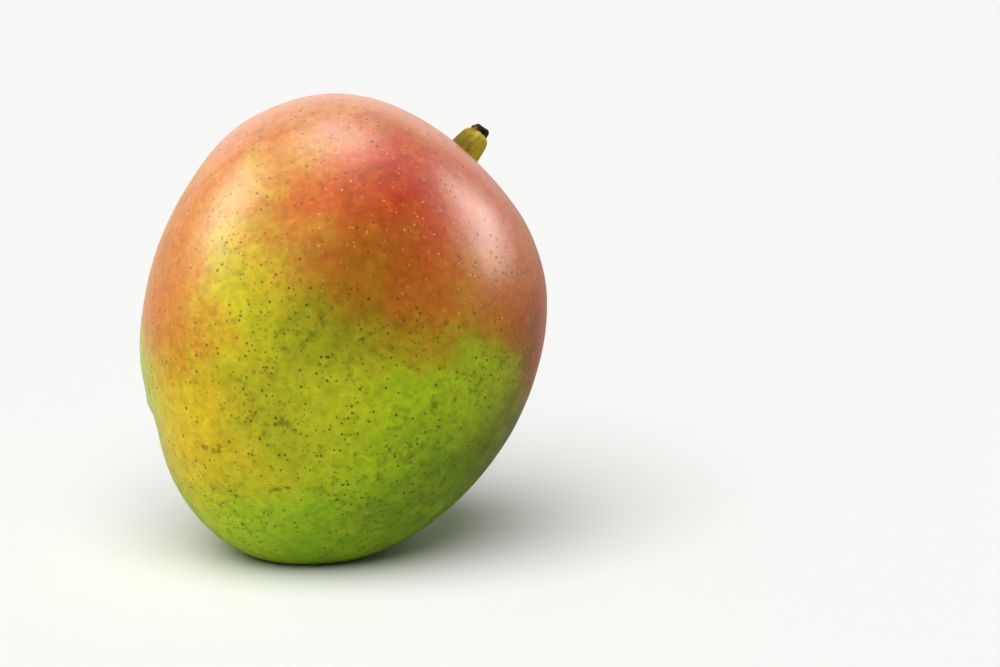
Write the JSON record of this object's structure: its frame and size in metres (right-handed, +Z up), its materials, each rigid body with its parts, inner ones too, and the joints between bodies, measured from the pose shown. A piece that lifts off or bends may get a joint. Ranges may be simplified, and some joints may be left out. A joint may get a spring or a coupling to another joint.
{
  "type": "mango",
  "caption": "Whole mango with the stub of its stalk, standing on a small settled spot opposite the stem end.",
  "frame": {"origin": "on the ground under the middle of the fruit's box", "axes": "+Z up, +X to the side of the fruit's back shoulder, -X to the side of its beak, -Y out of the near cheek"},
  "size_m": [0.1048, 0.0894, 0.1193],
  "materials": {
    "skin": "satin",
    "pedicel": "matte"
  },
  "bodies": {
    "root": {"fruit": "skin", "pedicel": "pedicel"}
  },
  "joints": []
}
